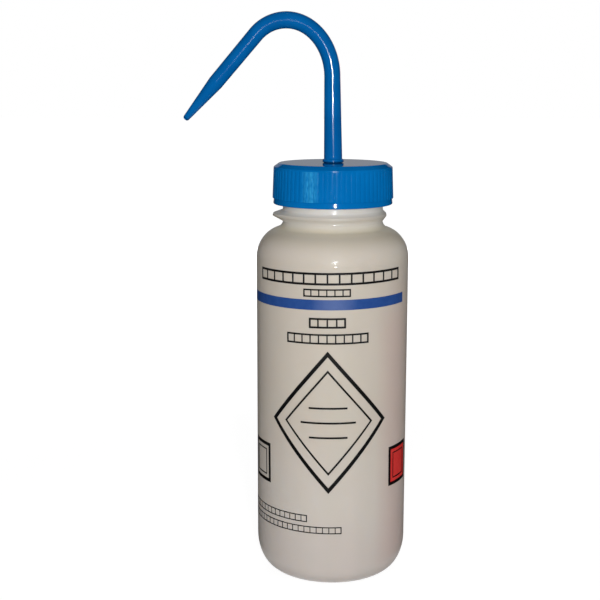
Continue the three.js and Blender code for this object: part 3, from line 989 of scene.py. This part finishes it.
def milky_plastic():
    """Blown polyethylene: beige and a little cloudy, whiter at the thick neck, olive below it, with
    painted light at the foot and at the fillet below the ring, painted shade at the ring's lower
    edge, and with fine rings in its gloss at the shoulder."""
    look = Look("milky_polyethylene")
    by_height = look.height_ramp(BOTTLE_COLOURS_AND_PAINTED_LIGHT)
    clouds = look.noise(28, 1)
    streaks = look.noise(1, 1, look.stretched(90, 90, 6))
    tint = look.mix(look.spread(clouds, 0, 0.12), by_height, linear(204, 184, 176))
    streaked = look.mix(look.spread(streaks, 0, 0.1), tint, linear(188, 188, 170))
    blush = look.beside(BLUSH_ANGLE, BLUSH_HALF_WIDTH, BLUSH_SHARE)
    blush = look.blend(look.above(0, BLUSH_FADE), None, blush)
    blush = look.blend(look.above(SHOULDER_Z - 2 * BLUSH_FADE, 2 * BLUSH_FADE), blush, None)
    colour = look.mix(blush, streaked, linear(210, 182, 175))
    roughness = look.spread(look.noise(300, 3), 0.4, 0.5)
    waves = look.bump(look.noise(1, 1, look.stretched(60, 60, 40)), 0.08)
    grain = look.bump(look.noise(1600, 2), 0.004, waves)
    rings = look.noise(1, 1, look.stretched(12, 12, 800))
    rings = look.blend(look.above(SHOULDER_Z - SHOULDER_HEIGHT / 2, RINGS_FADE), None, rings)
    look.link(look.bump(rings, RINGS_DEPTH), look.shader.inputs["Coat Normal"])
    look.set(Subsurface_Weight=0.25, Subsurface_Scale=0.002, IOR=1.5)
    look.set(Coat_Weight=0.35, Coat_Roughness=0.13)
    look.shader.inputs["Subsurface Radius"].default_value = (1, 0.8, 0.6)
    return look.finish(colour, roughness, grain)


def cap_plastic():
    """Glossy polypropylene, smoothest on the flat top, with a paler streak on the ribs that is a
    painted reflection.
    """
    look = Look("blue_polypropylene")
    shade = look.noise(60, 3)
    blue = look.mix(look.spread(shade, 0, 1), linear(0, 106, 178), linear(4, 114, 188))
    edge = CAP_ROUNDING / 4
    # Paler, mottled streak on the ribs: a painted reflection
    painted_reflection = look.beside(PAINTED_REFLECTION_ANGLE, PAINTED_REFLECTION_HALF_WIDTH, 1)
    painted_reflection = look.blend(painted_reflection, None, painted_reflection)
    painted_reflection = look.blend(look.above(RIB_FOOT_Z, edge), None, painted_reflection)
    painted_reflection = look.blend(look.above(RIB_TOP_Z, edge), painted_reflection, None)
    reflection_mottle = look.noise(1, 2, look.stretched(1400, 1400, 400))
    painted_reflection = look.blend(look.spread(reflection_mottle, 0.15, 0.75), None, painted_reflection)
    colour = look.mix(painted_reflection, blue, linear(56, 170, 224))
    fine = look.noise(500, 3)
    top = look.above(CAP_TOP_Z - edge, edge / 2)
    roughness = look.blend(top, look.spread(fine, 0.06, 0.09), look.spread(fine, 0.02, 0.035))
    grain = look.bump(look.blend(top, look.noise(2600, 2), None), 0.002)
    look.set(IOR=1.45)
    return look.finish(colour, roughness, grain)


def tube_plastic():
    """Glossy polyethylene, with painted shade at the foot of the bead, and a little wavy along the
    riser.
    """
    look = Look("blue_polyethylene")
    shade = look.noise(80, 3)
    pale = look.mix(look.spread(shade, 0, 1), linear(0, 92, 162), linear(4, 102, 174))
    # Dark navy up to the bead's middle: painted shade
    colour = look.mix(look.above(CAP_TOP_Z + SEAT_GAP, BEAD_HEIGHT / 2), linear(4, 60, 112), pale)
    roughness = look.spread(look.noise(400, 3), 0.1, 0.12)
    bend_z = CROWN_TOP_Z - TUBE_CROWN_RADIUS - BEND_HEIGHT
    waves = look.noise(1, 1, look.stretched(120, 120, 500))
    ripple = look.bump(look.blend(look.above(bend_z, BEND_HEIGHT / 2), waves, None), 0.014)
    look.set(IOR=1.5)
    return look.finish(colour, roughness, ripple)


def foam_plastic():
    """White foam with small cells."""
    look = Look("white_foam")
    cells = look.node("ShaderNodeTexVoronoi")
    cells.inputs["Scale"].default_value = 2400
    look.link(look.place, cells.inputs["Vector"])
    colour = look.mix(cells.outputs["Distance"], linear(236, 235, 229), linear(214, 212, 204))
    roughness = look.spread(look.noise(900), 0.6, 0.75)
    return look.finish(colour, roughness, look.bump(cells.outputs["Distance"], 0.05))


def natural_plastic():
    """Undyed polyethylene with fine streaks along it."""
    look = Look("natural_polyethylene")
    streaks = look.noise(1, 3, look.stretched(700, 700, 20))
    colour = look.mix(look.spread(streaks, 0, 1), linear(232, 230, 223), linear(218, 214, 204))
    roughness = look.spread(look.noise(500, 2), 0.28, 0.4)
    look.set(Subsurface_Weight=0.3, Subsurface_Scale=0.0015)
    return look.finish(colour, roughness, look.bump(streaks, 0.02))


def ink_look(name, colour, thinned, painted_sheen=0):
    """Screen ink, a little thinner in places, and painted paler by a share at the front of the body,
    a painted sheen.
    """
    look = Look(name)
    thin = look.spread(look.noise(420, 4), 0, 0.5, 0.35, 0.75)
    mixed = look.mix(thin, colour, thinned)
    # Paler at the front of the body: a painted sheen
    mixed = look.mix(look.beside(0, PAINTED_SHEEN_HALF_WIDTH, painted_sheen), mixed, linear(124, 142, 188))
    roughness = look.spread(look.noise(700, 2), 0.38, 0.5)
    return look.finish(mixed, roughness, look.bump(look.noise(1500, 2), 0.006))


# Stage: camera, floor, light


def stage_camera():
    """The camera of the photograph, as it was fitted to the bottle's outline."""
    data = bpy.data.cameras.new("camera")
    data.sensor_width = CAMERA_SENSOR
    data.lens = CAMERA_LENS
    camera = bpy.data.objects.new("camera", data)
    place = Matrix.Translation(Vector(CAMERA_PLACE) * MM)
    pitch = Matrix.Rotation(math.pi / 2 - CAMERA_PITCH, 4, "X")
    camera.matrix_world = place @ pitch @ Matrix.Rotation(CAMERA_ROLL, 4, "Z")
    bpy.context.scene.collection.objects.link(camera)
    bpy.context.scene.camera = camera


def seen_rays(tree):
    """1 for the rays that see the background, straight, in a gloss or through a clear piece."""
    rays = tree.nodes.new("ShaderNodeLightPath")
    most = rays.outputs["Is Camera Ray"]
    for name in ("Is Glossy Ray", "Is Transmission Ray"):
        larger = tree.nodes.new("ShaderNodeMath")
        larger.operation = "MAXIMUM"
        tree.links.new(most, larger.inputs[0])
        tree.links.new(rays.outputs[name], larger.inputs[1])
        most = larger.outputs[0]
    return most


def stage_world():
    """A white background, and a room's soft light, which is weaker from above."""
    world = bpy.data.worlds.new("studio")
    bpy.context.scene.world = world
    world.use_nodes = True
    tree = world.node_tree
    tree.nodes.clear()
    direction = tree.nodes.new("ShaderNodeTexCoord")
    height = tree.nodes.new("ShaderNodeSeparateXYZ")
    tree.links.new(direction.outputs["Generated"], height.inputs[0])
    light = map_range(tree, height.outputs["Z"], 0, 1, ROOM_LIGHT, ROOM_LIGHT_ABOVE)
    room = tree.nodes.new("ShaderNodeBackground")
    tree.links.new(light, room.inputs["Color"])
    white = tree.nodes.new("ShaderNodeBackground")
    white.inputs["Color"].default_value = (1, 1, 1, 1)
    mix = tree.nodes.new("ShaderNodeMixShader")
    output = tree.nodes.new("ShaderNodeOutputWorld")
    tree.links.new(seen_rays(tree), mix.inputs[0])
    tree.links.new(room.outputs[0], mix.inputs[1])
    tree.links.new(white.outputs[0], mix.inputs[2])
    tree.links.new(mix.outputs[0], output.inputs["Surface"])


def stage_sheet(name, points, faces, material):
    """A floor or a screen, with its points in metres."""
    mesh = bpy.data.meshes.new(name)
    mesh.from_pydata(points, [], faces)
    mesh.materials.append(material)
    sheet = bpy.data.objects.new(name, mesh)
    bpy.context.scene.collection.objects.link(sheet)
    return sheet


def stage_floor():
    """A pale floor, which fades into the white background and keeps the object's shadow."""
    material = bpy.data.materials.new("floor")
    material.use_nodes = True
    tree = material.node_tree
    tree.nodes.clear()
    paper = tree.nodes.new("ShaderNodeBsdfDiffuse")
    paper.inputs["Color"].default_value = (FLOOR_SHADE, FLOOR_SHADE, FLOOR_SHADE, 1)
    place = tree.nodes.new("ShaderNodeTexCoord")
    away = tree.nodes.new("ShaderNodeVectorMath")
    away.operation = "LENGTH"
    tree.links.new(place.outputs["Object"], away.inputs[0])
    fade = map_range(tree, away.outputs["Value"], FLOOR_NEAR, FLOOR_FAR, FLOOR_GLOW, 1)
    strength = tree.nodes.new("ShaderNodeMath")
    strength.operation = "MULTIPLY"
    tree.links.new(seen_rays(tree), strength.inputs[0])
    tree.links.new(fade, strength.inputs[1])
    glow = tree.nodes.new("ShaderNodeEmission")
    glow.inputs["Color"].default_value = (1, 1, 1, 1)
    tree.links.new(strength.outputs[0], glow.inputs["Strength"])
    both = tree.nodes.new("ShaderNodeAddShader")
    output = tree.nodes.new("ShaderNodeOutputMaterial")
    tree.links.new(paper.outputs[0], both.inputs[0])
    tree.links.new(glow.outputs[0], both.inputs[1])
    tree.links.new(both.outputs[0], output.inputs["Surface"])
    half = FLOOR_SIZE / 2
    corners = [(-half, -half, 0), (half, -half, 0), (half, half, 0), (-half, half, 0)]
    stage_sheet("floor", corners, [(0, 1, 2, 3)], material)


def stage_screen(name, glow, strips):
    """A round screen about the object, which shows only in the gloss of the plastic, as strips
    between two (radius, z) edges and two angles from the back."""
    material = bpy.data.materials.new(name)
    material.use_nodes = True
    tree = material.node_tree
    tree.nodes.clear()
    shade = tree.nodes.new("ShaderNodeEmission")
    shade.inputs["Color"].default_value = (glow, glow, glow, 1)
    output = tree.nodes.new("ShaderNodeOutputMaterial")
    tree.links.new(shade.outputs[0], output.inputs["Surface"])
    points, faces = [], []
    for start, end, *edges in strips:
        for i in range(SCREEN_COLUMNS + 1):
            angle = math.pi / 2 + start + (end - start) * i / SCREEN_COLUMNS
            points += [(radius * math.cos(angle), radius * math.sin(angle), z) for radius, z in edges]
            if i > 0:
                at = len(points) - 4
                faces.append((at, at + 2, at + 3, at + 1))
    screen = stage_sheet(name, points, faces, material)
    screen.visible_camera = False
    screen.visible_diffuse = False
    screen.visible_transmission = False
    screen.visible_shadow = False


def stage_screens():
    """A dark floor, front and lid, a grey ring about the foot and a grey wall at the back."""
    inside = (SCREEN_FOOT_RADIUS, SCREEN_FOOT_Z)
    near = (SCREEN_NEAR_RADIUS, SCREEN_FOOT_Z)
    foot = (SCREEN_RADIUS, SCREEN_FOOT_Z)
    top = (SCREEN_RADIUS, SCREEN_HEIGHT)
    stage_screen("near_screen", NEAR_GLOW, [(0, TAU, inside, near)])
    stage_screen("dark_screen", 0, [
        (0, TAU, near, foot),
        (GREY_HALF_ANGLE, TAU - GREY_HALF_ANGLE, foot, top),
        (0, TAU, top, (SCREEN_LID_RADIUS, SCREEN_HEIGHT)),
    ])
    stage_screen("grey_screen", GREY_GLOW, [(-GREY_HALF_ANGLE, GREY_HALF_ANGLE, foot, top)])


def stage_lamp(name, place, side, light, glossy):
    """A soft square lamp that faces the target. Its light is what a white sheet at the target,
    square to the lamp, would send back."""
    away = Vector(place) - Vector(LAMP_TARGET)
    data = bpy.data.lights.new(name, "AREA")
    data.size = side
    data.energy = light * math.pi ** 2 * away.length_squared
    lamp = bpy.data.objects.new(name, data)
    turn = away.to_track_quat("Z", "Y").to_matrix().to_4x4()
    lamp.matrix_world = Matrix.Translation(Vector(place)) @ turn
    lamp.visible_glossy = glossy
    bpy.context.scene.collection.objects.link(lamp)


# The whole object


def dress(piece, body, slot, look, *nodes):
    """The piece rides on its body, takes its look and stands for its nodes."""
    piece.data.materials.append(look)
    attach(piece, body)
    if nodes:
        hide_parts(*nodes)


milky = milky_plastic()
dress(bottle_piece(), "bottle", "bottle", milky, "bottle")
dress(pinch_piece(), "bottle", "bottle", milky)
dress(cap_piece(), "cap", "cap", cap_plastic(), "screw_cap")
dress(liner_piece(), "liner", "liner", foam_plastic(), "cap_liner")
dress(delivery_tube_piece(), "spout", "tube", tube_plastic(), "delivery_tube")
dress(dip_tube_piece(), "spout", "dip_tube", natural_plastic(), "dip_tube")
dress(black_print(), "bottle", "bottle", ink_look("black_ink", linear(8, 7, 8), linear(30, 28, 29)))
blue_ink = ink_look("blue_ink", linear(34, 74, 144), linear(52, 90, 158), PAINTED_SHEEN_SHARE)
dress(blue_print(), "bottle", "bottle", blue_ink)
dress(red_print(), "bottle", "bottle", ink_look("red_ink", linear(222, 50, 48), linear(228, 74, 66)))

stage_camera()
stage_world()
stage_floor()
stage_screens()
for lamp_row in LAMPS:
    stage_lamp(*lamp_row)
bpy.context.scene.view_settings.view_transform = "Standard"
